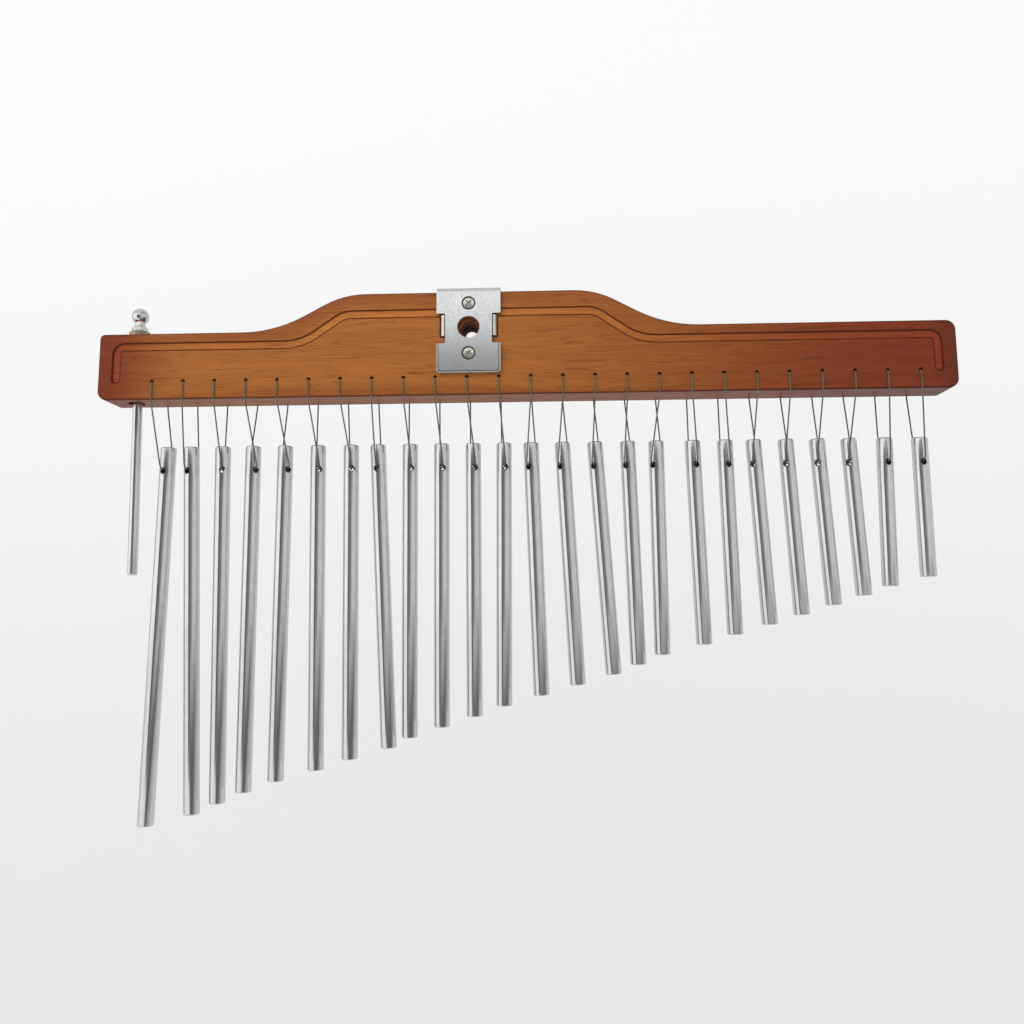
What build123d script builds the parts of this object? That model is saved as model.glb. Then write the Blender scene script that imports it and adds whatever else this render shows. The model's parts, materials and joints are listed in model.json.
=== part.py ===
"""Bar chimes: a hardwood beam, its mounting bracket, a row of hanging bars and a striker.

Sizes are in millimetres. The origin is on the stand bore's axis, in the plane of the
beam's front face. +X runs along the beam to the short bars, +Y to the back, +Z up.
"""

import os
from math import cos, radians, sin

from build123d import *

os.makedirs("parts", exist_ok=True)

# Row of chimes
chime_count = 25
chime_pitch = 16.5
bore_to_first_chime = 166.0
longest_bar = 192.0
shortest_bar = 71.0
length_bow = 2.7  # how far the middle bar falls short of an even grading
bar_diameter = 8.0
cross_hole_diameter = 3.0
cross_hole_drop = 12.6  # bar's top end to the centre of its cross-hole
hang_gap = 24.0  # beam's underside to the top end of a bar that hangs straight

# How each bar of the photographed row hangs, from the long end to the short end
loop_shift = [6.0, 2.5, 2.5, 2.0, 2.5, 3.5, 4.5, 2.5, 2.5, 2.5, 2.5, 2.0, 0.0]
loop_shift += [0.0, 0.5, 0.5, -1.5, 1.0, 1.0, -0.5, -0.5, -1.0, -1.5, -0.5, 1.0]
bar_lean = [-1.0, 2.3, 1.1, 0.1, -0.2, 0.8, 0.7, 2.8, 0.4, 0.3, 0.3, -0.2, 1.9]
bar_lean += [2.9, 3.6, 1.5, 0.2, 1.5, 1.0, 2.8, 2.7, 3.0, 2.6, -1.0, 0.1]
bar_twist = [-15, -20, 15, 43, 43, 25, 17, -6, 17, 16, 20, 14, -29]
bar_twist += [-35, -28, -28, -41, 15, 15, -28, -27, -26, -31, 8, 2]

# Cord
cord_diameter = 0.8
cord_sides = 4
cord_clearance = 0.1  # cord's skin to the wood that it lies on
cord_bend = 0.7  # centreline radius where the cord turns into the beam
cord_sway_room = 0.3  # beam's lower edge to the ends of the cord that the beam holds
loop_bend = 1.2  # centreline radius where the cord turns into a bar
loop_mouth_gap = 0.9  # bar's skin to the corner of the strand outside it
loop_rise = 0.25  # cord's centreline above the centre of the cross-hole
cord_hole_diameter = 1.8
cord_hole_height = 9.6  # above the beam's underside

# Beam
beam_thickness = 20.0
bore_above_base = 35.4
shoulder_height = 35.4
crown_height = 55.0
crown_corner = 65.9  # bore axis to where the flank would meet the flat crown
foot_corner = 102.1  # bore axis to where the flank would meet the shoulder
crown_radius = 45.0
foot_radius = 68.0
end_corner_radius = 5.0
striker_corner_radius = 2.5
edge_round = 1.0
short_end_margin = 19.0  # last chime to the beam's end
stand_bore_diameter = 11.0

# Routed line on the front face
groove_width = 4.8
groove_floor_width = 3.4
groove_depth = 0.9
groove_end_inset = 9.5
groove_shoulder_drop = 7.2
groove_crown_drop = 11.2
groove_crown_corner = 65.6
groove_foot_corner = 87.8
groove_crown_radius = 14.0
groove_foot_radius = 30.0
groove_leg_radius = 4.0
groove_leg_height = 11.0  # end of each leg above the beam's underside

# Bracket
plate_thickness = 2.0
bracket_width = 33.3
bracket_drop = 24.3  # bore axis to the plate's lower edge
bracket_corner_radius = 2.0
bracket_hole_diameter = 11.6
flange_depth = 9.0
flange_bend = 0.8
waist_width = 24.2
notch_top = 7.3
notch_bottom = 8.6
notch_corner_radius = 0.8
tab_span = 29.6  # over the outer faces of the two folded tabs
tab_top = 6.5
tab_bottom = 4.6
tab_depth = 6.0
tab_clearance = 0.3

# Bracket screws
screw_below_crown = 6.8
screw_above_edge = 10.4  # plate's lower edge to the lower screw
screw_head_diameter = 7.2
screw_shank_diameter = 4.0
screw_length = 16.0
screw_tip = 3.0
screw_clearance = 0.05

# Striker
striker_to_first_chime = 12.3
striker_end_margin = 16.7
striker_lean = 1.0  # degrees, with the rod's lower end towards the chimes
striker_rod_diameter = 5.0
striker_reach = 91.0  # rod's lower end below the beam's underside
striker_hole_diameter = 8.5
striker_tip_chamfer = 0.6
collar_diameter = 10.8
collar_height = 7.7
collar_chamfer = 0.6
knob_diameter = 8.8
knob_gap = 0.4  # collar's top to the knob
knob_socket_depth = 4.0
striker_clearance = 0.05

# Places that follow from the sizes above
base_z = -bore_above_base
shoulder_z = base_z + shoulder_height
crown_z = base_z + crown_height
screw_heights = [crown_z - screw_below_crown, screw_above_edge - bracket_drop]
middle_y = beam_thickness / 2
first_chime_x = -bore_to_first_chime
last_chime_x = first_chime_x + (chime_count - 1) * chime_pitch
striker_x = first_chime_x - striker_to_first_chime
left_x = striker_x - striker_end_margin
right_x = last_chime_x + short_end_margin
cord_hole_z = base_z + cord_hole_height
cord_offset = cord_diameter / 2 + cord_clearance
hang_z = base_z - hang_gap - cross_hole_drop


def chime_x(index):
    """Place of a chime's cord hole along the beam."""
    return first_chime_x + index * chime_pitch


def chime_length(index):
    """Length of a bar: an even grading that bows slightly towards the short end."""
    share = index / (chime_count - 1)
    return longest_bar + (shortest_bar - longest_bar) * share - 4 * length_bow * share * (1 - share)


def bar_plane(index):
    """Frame of a hanging bar: origin at its cross-hole, Z along the bar, Y along the hole."""
    lean = radians(bar_lean[index % len(bar_lean)])
    twist = radians(bar_twist[index % len(bar_twist)])
    shift = loop_shift[index % len(loop_shift)]
    return Plane(
        origin=(chime_x(index) + shift, middle_y, hang_z),
        x_dir=(cos(twist) * cos(lean), sin(twist), cos(twist) * sin(lean)),
        z_dir=(-sin(lean), 0, cos(lean)),
    )


def drill_screw_seats(depth):
    """Drill and countersink for both screws, from the front of the bracket's plate."""
    with Locations(Plane.XZ.offset(plate_thickness)):
        with Locations([(0, height) for height in screw_heights]):
            CounterSinkHole(
                screw_shank_diameter / 2 + screw_clearance,
                screw_head_diameter / 2 + screw_clearance,
                depth=depth + screw_clearance,
                counter_sink_angle=90,
            )


# Beam: the outline of its front face, its softened edges, the routed line and the drillings
groove_slope = (groove_width - groove_floor_width) / 2 / groove_depth
groove_mouth_width = groove_width + 2 * groove_slope * groove_depth  # one depth in front of the face
groove_left_x = left_x + groove_end_inset
groove_right_x = right_x - groove_end_inset
groove_shoulder_z = shoulder_z - groove_shoulder_drop
groove_crown_z = crown_z - groove_crown_drop
groove_leg_z = base_z + groove_leg_height
waist_half = waist_width / 2
tab_outer_x = tab_span / 2
slot_height = tab_top + tab_bottom + 2 * tab_clearance
slot_width = tab_outer_x + tab_clearance - waist_half

with BuildPart() as beam:
    with BuildSketch(Plane.XZ):
        with BuildLine():
            FilletPolyline(
                (left_x, base_z),
                (right_x, base_z),
                (right_x, shoulder_z),
                (foot_corner, shoulder_z),
                (crown_corner, crown_z),
                (-crown_corner, crown_z),
                (-foot_corner, shoulder_z),
                (left_x, shoulder_z),
                radius=[
                    end_corner_radius,
                    end_corner_radius,
                    end_corner_radius,
                    foot_radius,
                    crown_radius,
                    crown_radius,
                    foot_radius,
                    striker_corner_radius,
                ],
                close=True,
            )
        make_face()
    extrude(amount=-beam_thickness)
    fillet(beam.faces().filter_by(Axis.Y).edges(), edge_round)

    with BuildLine() as groove_line:
        FilletPolyline(
            (groove_left_x, 0, groove_leg_z),
            (groove_left_x, 0, groove_shoulder_z),
            (-groove_foot_corner, 0, groove_shoulder_z),
            (-groove_crown_corner, 0, groove_crown_z),
            (groove_crown_corner, 0, groove_crown_z),
            (groove_foot_corner, 0, groove_shoulder_z),
            (groove_right_x, 0, groove_shoulder_z),
            (groove_right_x, 0, groove_leg_z),
            radius=[
                groove_leg_radius,
                groove_foot_radius,
                groove_crown_radius,
                groove_crown_radius,
                groove_foot_radius,
                groove_leg_radius,
            ],
        )
    with BuildSketch(Plane(groove_line.line @ 0)):
        with BuildLine():
            Polyline(
                (-groove_mouth_width / 2, -groove_depth),
                (groove_mouth_width / 2, -groove_depth),
                (groove_floor_width / 2, groove_depth),
                (-groove_floor_width / 2, groove_depth),
                close=True,
            )
        make_face()
    sweep(path=groove_line.line, mode=Mode.SUBTRACT)
    with Locations(Plane.XZ):
        with Locations((groove_left_x, groove_leg_z), (groove_right_x, groove_leg_z)):
            Cone(
                groove_floor_width / 2,
                groove_mouth_width / 2,
                2 * groove_depth,
                mode=Mode.SUBTRACT,
            )
        with Locations([(chime_x(index), cord_hole_z) for index in range(chime_count)]):
            Hole(cord_hole_diameter / 2, depth=beam_thickness)
        Hole(stand_bore_diameter / 2, depth=beam_thickness)
    drill_screw_seats(screw_length)

    with BuildSketch(Plane.XZ):
        for side in (-1, 1):
            with Locations((side * (waist_half + slot_width / 2), (tab_top - tab_bottom) / 2)):
                Rectangle(slot_width, slot_height)
    extrude(amount=-(tab_depth + tab_clearance), mode=Mode.SUBTRACT)

    with Locations(Location((striker_x, middle_y, shoulder_z))):
        Hole(striker_hole_diameter / 2, depth=shoulder_height)
beam.part.label = "beam"
export_step(beam.part, "parts/beam.step")

# Bracket: a plate folded over the crown, with notched sides and two tabs folded into the wood
plate_y = -plate_thickness / 2
fold_z = crown_z + plate_thickness / 2
tab_x = tab_outer_x - plate_thickness / 2
tab_bend = tab_x - waist_half

with BuildPart() as bracket:
    with BuildSketch(Plane.YZ):
        with BuildLine() as fold:
            FilletPolyline(
                (plate_y, -bracket_drop),
                (plate_y, fold_z),
                (flange_depth, fold_z),
                radius=flange_bend + plate_thickness / 2,
            )
        trace(line_width=plate_thickness)
    extrude(amount=bracket_width / 2, both=True)
    lower_corners = bracket.edges().filter_by(Axis.Y).group_by(Axis.Z)[0]
    flange_corners = bracket.edges().filter_by(Axis.Z).group_by(Axis.Y)[-1]
    fillet(lower_corners + flange_corners, bracket_corner_radius)

    with BuildSketch(Plane.XZ.offset(plate_thickness)):
        notch_width = bracket_width / 2 - waist_half
        for side in (-1, 1):
            with Locations((side * bracket_width / 2, (notch_top - notch_bottom) / 2)):
                RectangleRounded(2 * notch_width, notch_top + notch_bottom, notch_corner_radius)
    extrude(amount=-plate_thickness, mode=Mode.SUBTRACT)

    with BuildSketch(Plane.XY.offset(-tab_bottom)):
        with BuildLine() as tab_fold:
            FilletPolyline((0, plate_y), (tab_x, plate_y), (tab_x, tab_depth), radius=tab_bend)
            mirror(about=Plane.YZ)
        trace(line_width=plate_thickness)
    extrude(amount=tab_top + tab_bottom)

    with Locations(Plane.XZ.offset(plate_thickness)):
        Hole(bracket_hole_diameter / 2, depth=plate_thickness)
    drill_screw_seats(plate_thickness)
bracket.part.label = "bracket"
export_step(bracket.part, "parts/bracket.step")

# Bracket screws: a countersunk head, a shank and a point, turned about the screw's axis
head_y = -plate_thickness
neck_y = head_y + (screw_head_diameter - screw_shank_diameter) / 2
tip_y = head_y + screw_length

with BuildPart() as bracket_screws:
    for height in screw_heights:
        with BuildSketch(Plane.XY.offset(height)):
            with BuildLine():
                Polyline(
                    (0, head_y),
                    (screw_head_diameter / 2, head_y),
                    (screw_shank_diameter / 2, neck_y),
                    (screw_shank_diameter / 2, tip_y - screw_tip),
                    (0, tip_y),
                    close=True,
                )
            make_face()
        revolve(axis=Axis((0, 0, height), (0, 1, 0)))
bracket_screws.part.label = "bracket_screws"
export_step(bracket_screws.part, "parts/bracket_screws.step")

# Striker: a rod through the beam's end, the collar that it hangs by and a ball knob
lean_angle = radians(striker_lean)
striker_plane = Plane(
    origin=(striker_x, middle_y, shoulder_z + collar_diameter / 2 * sin(lean_angle)),
    x_dir=(cos(lean_angle), 0, sin(lean_angle)),
    z_dir=(-sin(lean_angle), 0, cos(lean_angle)),
)
knob_rise = collar_height + knob_gap + knob_diameter / 2
rod_rise = knob_rise - knob_diameter / 2 + knob_socket_depth
rod_drop = shoulder_height + striker_reach
fitted_radius = striker_rod_diameter / 2 + striker_clearance

with BuildPart(striker_plane.offset(-rod_drop)) as striker_rod:
    Cylinder(
        striker_rod_diameter / 2,
        rod_rise + rod_drop,
        align=(Align.CENTER, Align.CENTER, Align.MIN),
    )
    chamfer(striker_rod.edges().group_by(Axis.Z)[0], striker_tip_chamfer)
striker_rod.part.label = "striker_rod"
export_step(striker_rod.part, "parts/striker_rod.step")

with BuildPart(striker_plane) as striker_collar:
    Cylinder(collar_diameter / 2, collar_height, align=(Align.CENTER, Align.CENTER, Align.MIN))
    chamfer(striker_collar.edges().group_by(Axis.Z)[-1], collar_chamfer)
    Hole(fitted_radius)
striker_collar.part.label = "striker_collar"
export_step(striker_collar.part, "parts/striker_collar.step")

with BuildPart(striker_plane.offset(knob_rise)) as striker_knob:
    Sphere(knob_diameter / 2)
    with Locations((0, 0, -knob_diameter / 2)):
        Cylinder(
            fitted_radius,
            knob_socket_depth + striker_clearance,
            align=(Align.CENTER, Align.CENTER, Align.MIN),
            mode=Mode.SUBTRACT,
        )
striker_knob.part.label = "striker_knob"
export_step(striker_knob.part, "parts/striker_knob.step")

# Cord bridges: the half of each loop that the beam holds, up the front, through it and down the back
bridge_z = cord_hole_z - cord_hole_diameter / 2 + cord_offset
front_y = -cord_offset
rear_y = beam_thickness + cord_offset
bridge_end_z = base_z + cord_sway_room

with BuildPart() as cord_bridges:
    for index in range(chime_count):
        x = chime_x(index)
        with BuildLine() as bridge:
            FilletPolyline(
                (x, front_y, bridge_end_z),
                (x, front_y, bridge_z),
                (x, rear_y, bridge_z),
                (x, rear_y, bridge_end_z),
                radius=cord_bend,
            )
        with BuildSketch(Plane(origin=bridge.line @ 0, z_dir=bridge.line % 0)):
            RegularPolygon(cord_diameter / 2, cord_sides, rotation=180 / cord_sides)
        sweep(path=bridge.line)
cord_bridges.part.label = "cord_bridges"
export_step(cord_bridges.part, "parts/cord_bridges.step")

# Chimes: each bar, and the hanging half of its loop with two strands that meet in the cross-hole
strand_top_z = base_z - cord_clearance
mouth = bar_diameter / 2 + loop_mouth_gap

for index in range(chime_count):
    number = f"{index + 1:02d}"
    hang = bar_plane(index)

    with BuildPart(hang) as chime_bar:
        with Locations((0, 0, cross_hole_drop)):
            Cylinder(
                bar_diameter / 2,
                chime_length(index),
                align=(Align.CENTER, Align.CENTER, Align.MAX),
            )
        with Locations(Location((0, 0, 0), (90, 0, 0))):
            Cylinder(cross_hole_diameter / 2, bar_diameter, mode=Mode.SUBTRACT)
    chime_bar.part.label = "chime_bar_" + number
    export_step(chime_bar.part, f"parts/chime_bar_{number}.step")

    with BuildPart() as cord_loop:
        with BuildLine() as strands:
            FilletPolyline(
                (chime_x(index), front_y, strand_top_z),
                hang.from_local_coords((0, -mouth, loop_rise)),
                hang.from_local_coords((0, mouth, loop_rise)),
                (chime_x(index), rear_y, strand_top_z),
                radius=loop_bend,
            )
        with BuildSketch(Plane(origin=strands.line @ 0, z_dir=strands.line % 0)):
            RegularPolygon(cord_diameter / 2, cord_sides, rotation=180 / cord_sides)
        sweep(path=strands.line)
    cord_loop.part.label = "cord_loop_" + number
    export_step(cord_loop.part, f"parts/cord_loop_{number}.step")
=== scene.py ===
# %% [markdown]
# # Bar chimes
#
# Twenty-five polished bars, graded from long to short, hang on cord loops from a stained wooden
# beam. A stamped steel bracket takes the stand, and a striker hangs at the long end. The CAD model
# already holds every place and joint. This lesson dresses it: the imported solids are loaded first,
# then each piece is refinished in place or replaced by a finer one that moves with the same body.

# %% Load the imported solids
import json
from math import cos, pi, radians, sin

import bmesh
import bpy
from mathutils import Matrix, Vector


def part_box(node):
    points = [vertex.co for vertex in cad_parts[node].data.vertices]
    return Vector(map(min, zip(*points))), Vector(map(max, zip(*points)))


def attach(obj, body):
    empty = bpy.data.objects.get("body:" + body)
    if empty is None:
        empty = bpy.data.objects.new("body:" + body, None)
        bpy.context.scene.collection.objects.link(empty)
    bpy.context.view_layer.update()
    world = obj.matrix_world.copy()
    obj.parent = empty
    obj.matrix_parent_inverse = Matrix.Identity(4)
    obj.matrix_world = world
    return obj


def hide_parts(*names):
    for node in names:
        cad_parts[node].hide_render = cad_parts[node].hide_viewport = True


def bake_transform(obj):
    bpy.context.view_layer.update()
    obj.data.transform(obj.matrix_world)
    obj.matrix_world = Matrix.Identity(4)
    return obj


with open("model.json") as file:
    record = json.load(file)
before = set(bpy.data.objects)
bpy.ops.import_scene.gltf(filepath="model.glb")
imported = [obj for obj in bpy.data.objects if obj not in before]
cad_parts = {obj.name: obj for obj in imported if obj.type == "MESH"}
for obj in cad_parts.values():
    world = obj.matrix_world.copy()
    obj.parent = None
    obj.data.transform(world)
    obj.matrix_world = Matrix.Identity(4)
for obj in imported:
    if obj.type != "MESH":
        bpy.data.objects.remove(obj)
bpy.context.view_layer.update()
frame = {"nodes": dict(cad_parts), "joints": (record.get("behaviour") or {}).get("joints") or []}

joint_place = {joint["name"]: Vector(joint["pos_m"]) for joint in frame["joints"] if "pos_m" in joint}
print("solids loaded:", len(frame["nodes"]), "joints with a pivot:", len(joint_place))

# %% [markdown]
# ## The camera
#
# The photograph was taken from close by, a little below the beam, with the camera held almost
# level. The place, the turn and the focal length below were worked out from the beam's corners and
# the bars' ends, so a solid of the right size lands on the right pixel. The lens shift only moves
# the frame over the picture, as cropping would.

# %% Set up the camera
mm = 0.001
camera_place = Vector((42.31, -449.38, -143.71)) * mm
camera_turn = Vector((0.1305, 0.0094, 0.0350))  # radians about each axis, from looking level along +Y
camera_data = bpy.data.cameras.new("photo_camera")
camera_data.sensor_width = 36.0
camera_data.lens = 31.474
camera_data.shift_x = -0.00915
camera_data.shift_y = -0.0228
camera_data.clip_start = 0.01
camera = bpy.data.objects.new("photo_camera", camera_data)
bpy.context.scene.collection.objects.link(camera)
level = Matrix.Rotation(pi / 2, 4, "X")
turned_aim = Matrix.Rotation(camera_turn.length, 4, camera_turn.normalized())
camera.matrix_world = Matrix.Translation(camera_place) @ turned_aim @ level
bpy.context.scene.camera = camera
print("camera lens:", round(camera_data.lens, 2), "mm")

# %% [markdown]
# ## Small helpers for nodes and pieces
#
# Most of the work below is done with nodes, for shapes as well as for finishes. Building nodes in
# code is mostly adding a node, setting it up and joining it to others, so one short helper does all
# three. A second one runs a Geometry Nodes tree and returns its result as a plain mesh, with no live
# modifiers left on it.

# %% Define the helpers
def feed(tree, node, inputs):
    """Give each named input of a node a value or another node's output."""
    for key, value in inputs.items():
        if isinstance(value, bpy.types.NodeSocket):
            tree.links.new(value, node.inputs[key])
        else:
            node.inputs[key].default_value = value


def add(tree, kind, inputs=None, **settings):
    """Add a node, set it up and feed its inputs."""
    node = tree.nodes.new(kind)
    for name, value in settings.items():
        setattr(node, name, value)
    feed(tree, node, inputs or {})
    return node


def made(tree, kind, inputs=None, **settings):
    """Add a node and return its first output."""
    return add(tree, kind, inputs, **settings).outputs[0]


def calc(tree, operation, first, second=0.0, third=0.0):
    """Add one Math node and return its result."""
    numbers = {0: first, 1: second, 2: third}
    return made(tree, "ShaderNodeMath", numbers, operation=operation)


def vector_calc(tree, operation, first, second=(0.0, 0.0, 0.0)):
    """Add one Vector Math node and return its vector."""
    return made(tree, "ShaderNodeVectorMath", {0: first, 1: second}, operation=operation)


def resized(tree, vector, factor):
    """Multiply a vector by one number."""
    return made(tree, "ShaderNodeVectorMath", {0: vector, "Scale": factor}, operation="SCALE")


def length_of(tree, vector):
    """The length of a vector."""
    return add(tree, "ShaderNodeVectorMath", {0: vector}, operation="LENGTH").outputs["Value"]


def split(tree, vector):
    """The X, Y and Z of a vector."""
    return add(tree, "ShaderNodeSeparateXYZ", {0: vector}).outputs


def own_place(tree):
    """A surface point's place in its own object."""
    return tree.nodes.new("ShaderNodeTexCoord").outputs["Object"]


def bumped(tree, height, strength, distance):
    """A normal tilted as by a small relief."""
    relief = {"Strength": strength, "Distance": distance, "Height": height}
    return add(tree, "ShaderNodeBump", relief).outputs["Normal"]


def round_section(tree, sides, radius):
    """A circle to sweep along a line."""
    return made(tree, "GeometryNodeCurvePrimitiveCircle", {"Resolution": sides, "Radius": radius})


def swept(tree, line, section, **more):
    """Sweep a section along a line and close both ends."""
    parts = {"Curve": line, "Profile Curve": section, "Fill Caps": True, **more}
    return made(tree, "GeometryNodeCurveToMesh", parts)


def put(name, data):
    """Make an object and put it in the scene."""
    thing = bpy.data.objects.new(name, data)
    bpy.context.scene.collection.objects.link(thing)
    return thing


def settle(holder, name):
    """Take an object's finished shape as a plain mesh, and remove the object."""
    depsgraph = bpy.context.evaluated_depsgraph_get()
    mesh = bpy.data.meshes.new_from_object(holder.evaluated_get(depsgraph), depsgraph=depsgraph)
    bpy.data.objects.remove(holder)
    mesh.name = name
    return mesh


smooth_below = radians(20)  # edges bent by less than this are shaded round


def shape_tree(name, sizes):
    """Start a Geometry Nodes tree with one named input for each size. Whole numbers stay whole."""
    tree = bpy.data.node_groups.new(name, "GeometryNodeTree")
    tree.interface.new_socket("Geometry", in_out="INPUT", socket_type="NodeSocketGeometry")
    for label, value in sizes.items():
        kind = "NodeSocketInt" if isinstance(value, int) else "NodeSocketFloat"
        tree.interface.new_socket(label, in_out="INPUT", socket_type=kind).default_value = value
    tree.interface.new_socket("Geometry", in_out="OUTPUT", socket_type="NodeSocketGeometry")
    return tree, tree.nodes.new("NodeGroupInput").outputs


def end_tree(tree, geometry, material, inside=None, inside_material=None):
    """Close a tree: real geometry, smooth where it is round, and a material.

    Inside is a face selection that takes a second material.
    """
    angle = add(tree, "GeometryNodeInputMeshEdgeAngle").outputs["Unsigned Angle"]
    round_edge = made(tree, "FunctionNodeCompare", {"A": angle, "B": smooth_below}, operation="LESS_THAN")
    real = made(tree, "GeometryNodeRealizeInstances", {"Geometry": geometry})
    faces = made(tree, "GeometryNodeSetShadeSmooth", {"Geometry": real}, domain="FACE")
    softly = {"Geometry": faces, "Shade Smooth": round_edge}
    edges = made(tree, "GeometryNodeSetShadeSmooth", softly, domain="EDGE")
    coat = made(tree, "GeometryNodeSetMaterial", {"Geometry": edges, "Material": material})
    if inside:
        second = {"Geometry": coat, "Selection": inside, "Material": inside_material}
        coat = made(tree, "GeometryNodeSetMaterial", second)
    add(tree, "NodeGroupOutput", {"Geometry": coat})


def grow(name, tree, sizes=None, source=None):
    """Run a tree with its own sizes, and return the result as a plain mesh."""
    holder = put(name + "_source", source or bpy.data.meshes.new(name + "_source"))
    modifier = holder.modifiers.new("shape", "NODES")
    modifier.node_group = tree
    for socket in tree.interface.items_tree:
        if socket.in_out == "INPUT" and socket.name in (sizes or {}):
            modifier[socket.identifier] = sizes[socket.name]
    return settle(holder, name)


def place_piece(name, mesh, slot, *nodes):
    """Put a finished mesh in the scene and hide the nodes it stands for. The slot is not used."""
    piece = put(name, mesh)
    if nodes:
        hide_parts(*nodes)
    return piece


def linear(red, green, blue):
    """Turn a colour written in 0 to 255 display steps into the linear values that shaders use."""
    shares = [step / 255 for step in (red, green, blue)]
    return tuple(s / 12.92 if s <= 0.04045 else ((s + 0.055) / 1.055) ** 2.4 for s in shares) + (1.0,)


print("helpers ready")

# %% [markdown]
# ## Shared finishes as node groups
#
# Real metal is never evenly shiny: drawing, rolling and handling leave fine lines and cloudy
# patches. Every metal here uses the same group for that, with its own stretch and scale, so the
# bars look drawn along their length and the bracket looks rolled. The group only puts out masks.
# Each material decides what a mask does to its colour, its gloss and its surface.

# %% Build the metal wear group
def start_group(name, inputs, outputs):
    """Start a shader node group and return it with its inputs and its output node."""
    group = bpy.data.node_groups.new(name, "ShaderNodeTree")
    for label, kind in inputs.items():
        group.interface.new_socket(label, in_out="INPUT", socket_type="NodeSocket" + kind)
    for label in outputs:
        group.interface.new_socket(label, in_out="OUTPUT", socket_type="NodeSocketFloat")
    start, end = group.nodes.new("NodeGroupInput"), group.nodes.new("NodeGroupOutput")
    return group, start.outputs, end


def spread(tree, value, low, high, result_low=0.0, result_high=1.0):
    """Stretch the part of a value between low and high smoothly over a new range."""
    numbers = {0: value, 1: low, 2: high, 3: result_low, 4: result_high}
    node = add(tree, "ShaderNodeMapRange", numbers, interpolation_type="SMOOTHSTEP")
    return node.outputs["Result"]


def noise(tree, vector, scale, detail=3.0, roughness=0.55):
    """Add a noise texture and return its grey value."""
    numbers = {"Vector": vector, "Scale": scale, "Detail": detail, "Roughness": roughness}
    return add(tree, "ShaderNodeTexNoise", numbers).outputs["Fac"]


def scaled(tree, vector, scale):
    """Stretch or squeeze a coordinate by a vector."""
    return vector_calc(tree, "MULTIPLY", vector, scale)


wear_inputs = {"Vector": "Vector", "Stretch": "Vector", "Line scale": "Float", "Cloud scale": "Float"}
metal_wear, given, result = start_group("metal_wear", wear_inputs, ["Lines", "Clouds", "Specks"])
stretched = scaled(metal_wear, given["Vector"], given["Stretch"])
lines = noise(metal_wear, stretched, given["Line scale"], 4.0, 0.65)
clouds = noise(metal_wear, given["Vector"], given["Cloud scale"], 5.0, 0.6)
specks_per_cloud = 9.0
speck_scale = calc(metal_wear, "MULTIPLY", given["Cloud scale"], specks_per_cloud)
specks = noise(metal_wear, given["Vector"], speck_scale, 2.0, 0.5)
wear_masks = {
    "Lines": spread(metal_wear, lines, 0.30, 0.70),
    "Clouds": spread(metal_wear, clouds, 0.30, 0.70),
    "Specks": spread(metal_wear, specks, 0.62, 0.74),
}
feed(metal_wear, result, wear_masks)
print("group:", metal_wear.name)

# %% [markdown]
# ## Metal finishes
#
# The bars are drawn aluminium with a soft polish, the bracket is plated sheet steel with a cloudy
# satin skin, the screws are bright steel and the striker is chromed. All are one recipe with other
# numbers: a metallic shader whose base colour, roughness and small relief come from the wear group.
# A coordinate is read from the piece's own attribute where the pattern has to follow the piece.

# %% Build the metal materials
def new_material(name):
    """Start a material with one Principled shader."""
    material = bpy.data.materials.new(name)
    material.use_nodes = True
    return material, material.node_tree, material.node_tree.nodes["Principled BSDF"]


def blend_colours(tree, factor, first, second, mode="MIX"):
    """Mix two colours by a factor."""
    colours = {0: factor, 6: first, 7: second}
    return add(tree, "ShaderNodeMix", colours, data_type="RGBA", blend_type=mode).outputs[2]


line_share, cloud_share = 0.6, 0.4  # what the lines and the clouds do to the polish
speck_roughness = 0.08
line_depth = 0.05 * mm
even = (1.0, 1.0, 1.0)


def metal(
    name, bright, dull, gloss, relief=0.08, stretch=even, line_scale=900.0, cloud_scale=500.0, attribute=None
):
    """Make a worn metal. Gloss holds the roughness where it is polished and where it is dull."""
    material, tree, shader = new_material(name)
    if attribute:
        place = add(tree, "ShaderNodeAttribute", attribute_name=attribute).outputs["Vector"]
    else:
        place = own_place(tree)
    scales = {"Vector": place, "Stretch": stretch, "Line scale": line_scale, "Cloud scale": cloud_scale}
    wear = add(tree, "ShaderNodeGroup", scales, node_tree=metal_wear).outputs
    clouds = calc(tree, "MULTIPLY", wear["Clouds"], cloud_share)
    polish = calc(tree, "MULTIPLY_ADD", wear["Lines"], line_share, clouds)
    rough = spread(tree, polish, 0.0, 1.0, gloss[1], gloss[0])
    finish = {
        "Base Color": blend_colours(tree, polish, dull, bright),
        "Roughness": calc(tree, "MULTIPLY_ADD", wear["Specks"], speck_roughness, rough),
        "Normal": bumped(tree, wear["Lines"], relief, line_depth),
        "Metallic": 1.0,
    }
    feed(tree, shader, finish)
    return material


bar_metal = metal(
    "drawn_aluminium", linear(240, 241, 243), linear(224, 225, 228), gloss=(0.10, 0.19), relief=0.07,
    stretch=(1.0, 1.0, 0.02), line_scale=2600.0, cloud_scale=260.0, attribute="bar_place",
)
# Darkened aluminium for the walls of the cross-holes: painted shade.
hole_shade_metal = metal(
    "hole_shade_aluminium", linear(70, 71, 74), linear(26, 26, 28), gloss=(0.35, 0.6), relief=0.3,
    stretch=(1.0, 0.1, 1.0), line_scale=3000.0, cloud_scale=900.0, attribute="bar_place",
)
bracket_metal = metal(
    "plated_sheet_steel", linear(242, 242, 242), linear(226, 228, 231), gloss=(0.15, 0.21), relief=0.02,
    cloud_scale=240.0,
)
# This steel also goes on the bracket's tabs and rolled rim, where it is partly a painted highlight.
screw_and_highlight_metal = metal("satin_steel_and_highlight", linear(250, 247, 238), linear(224, 221, 212), gloss=(0.20, 0.32))
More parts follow.
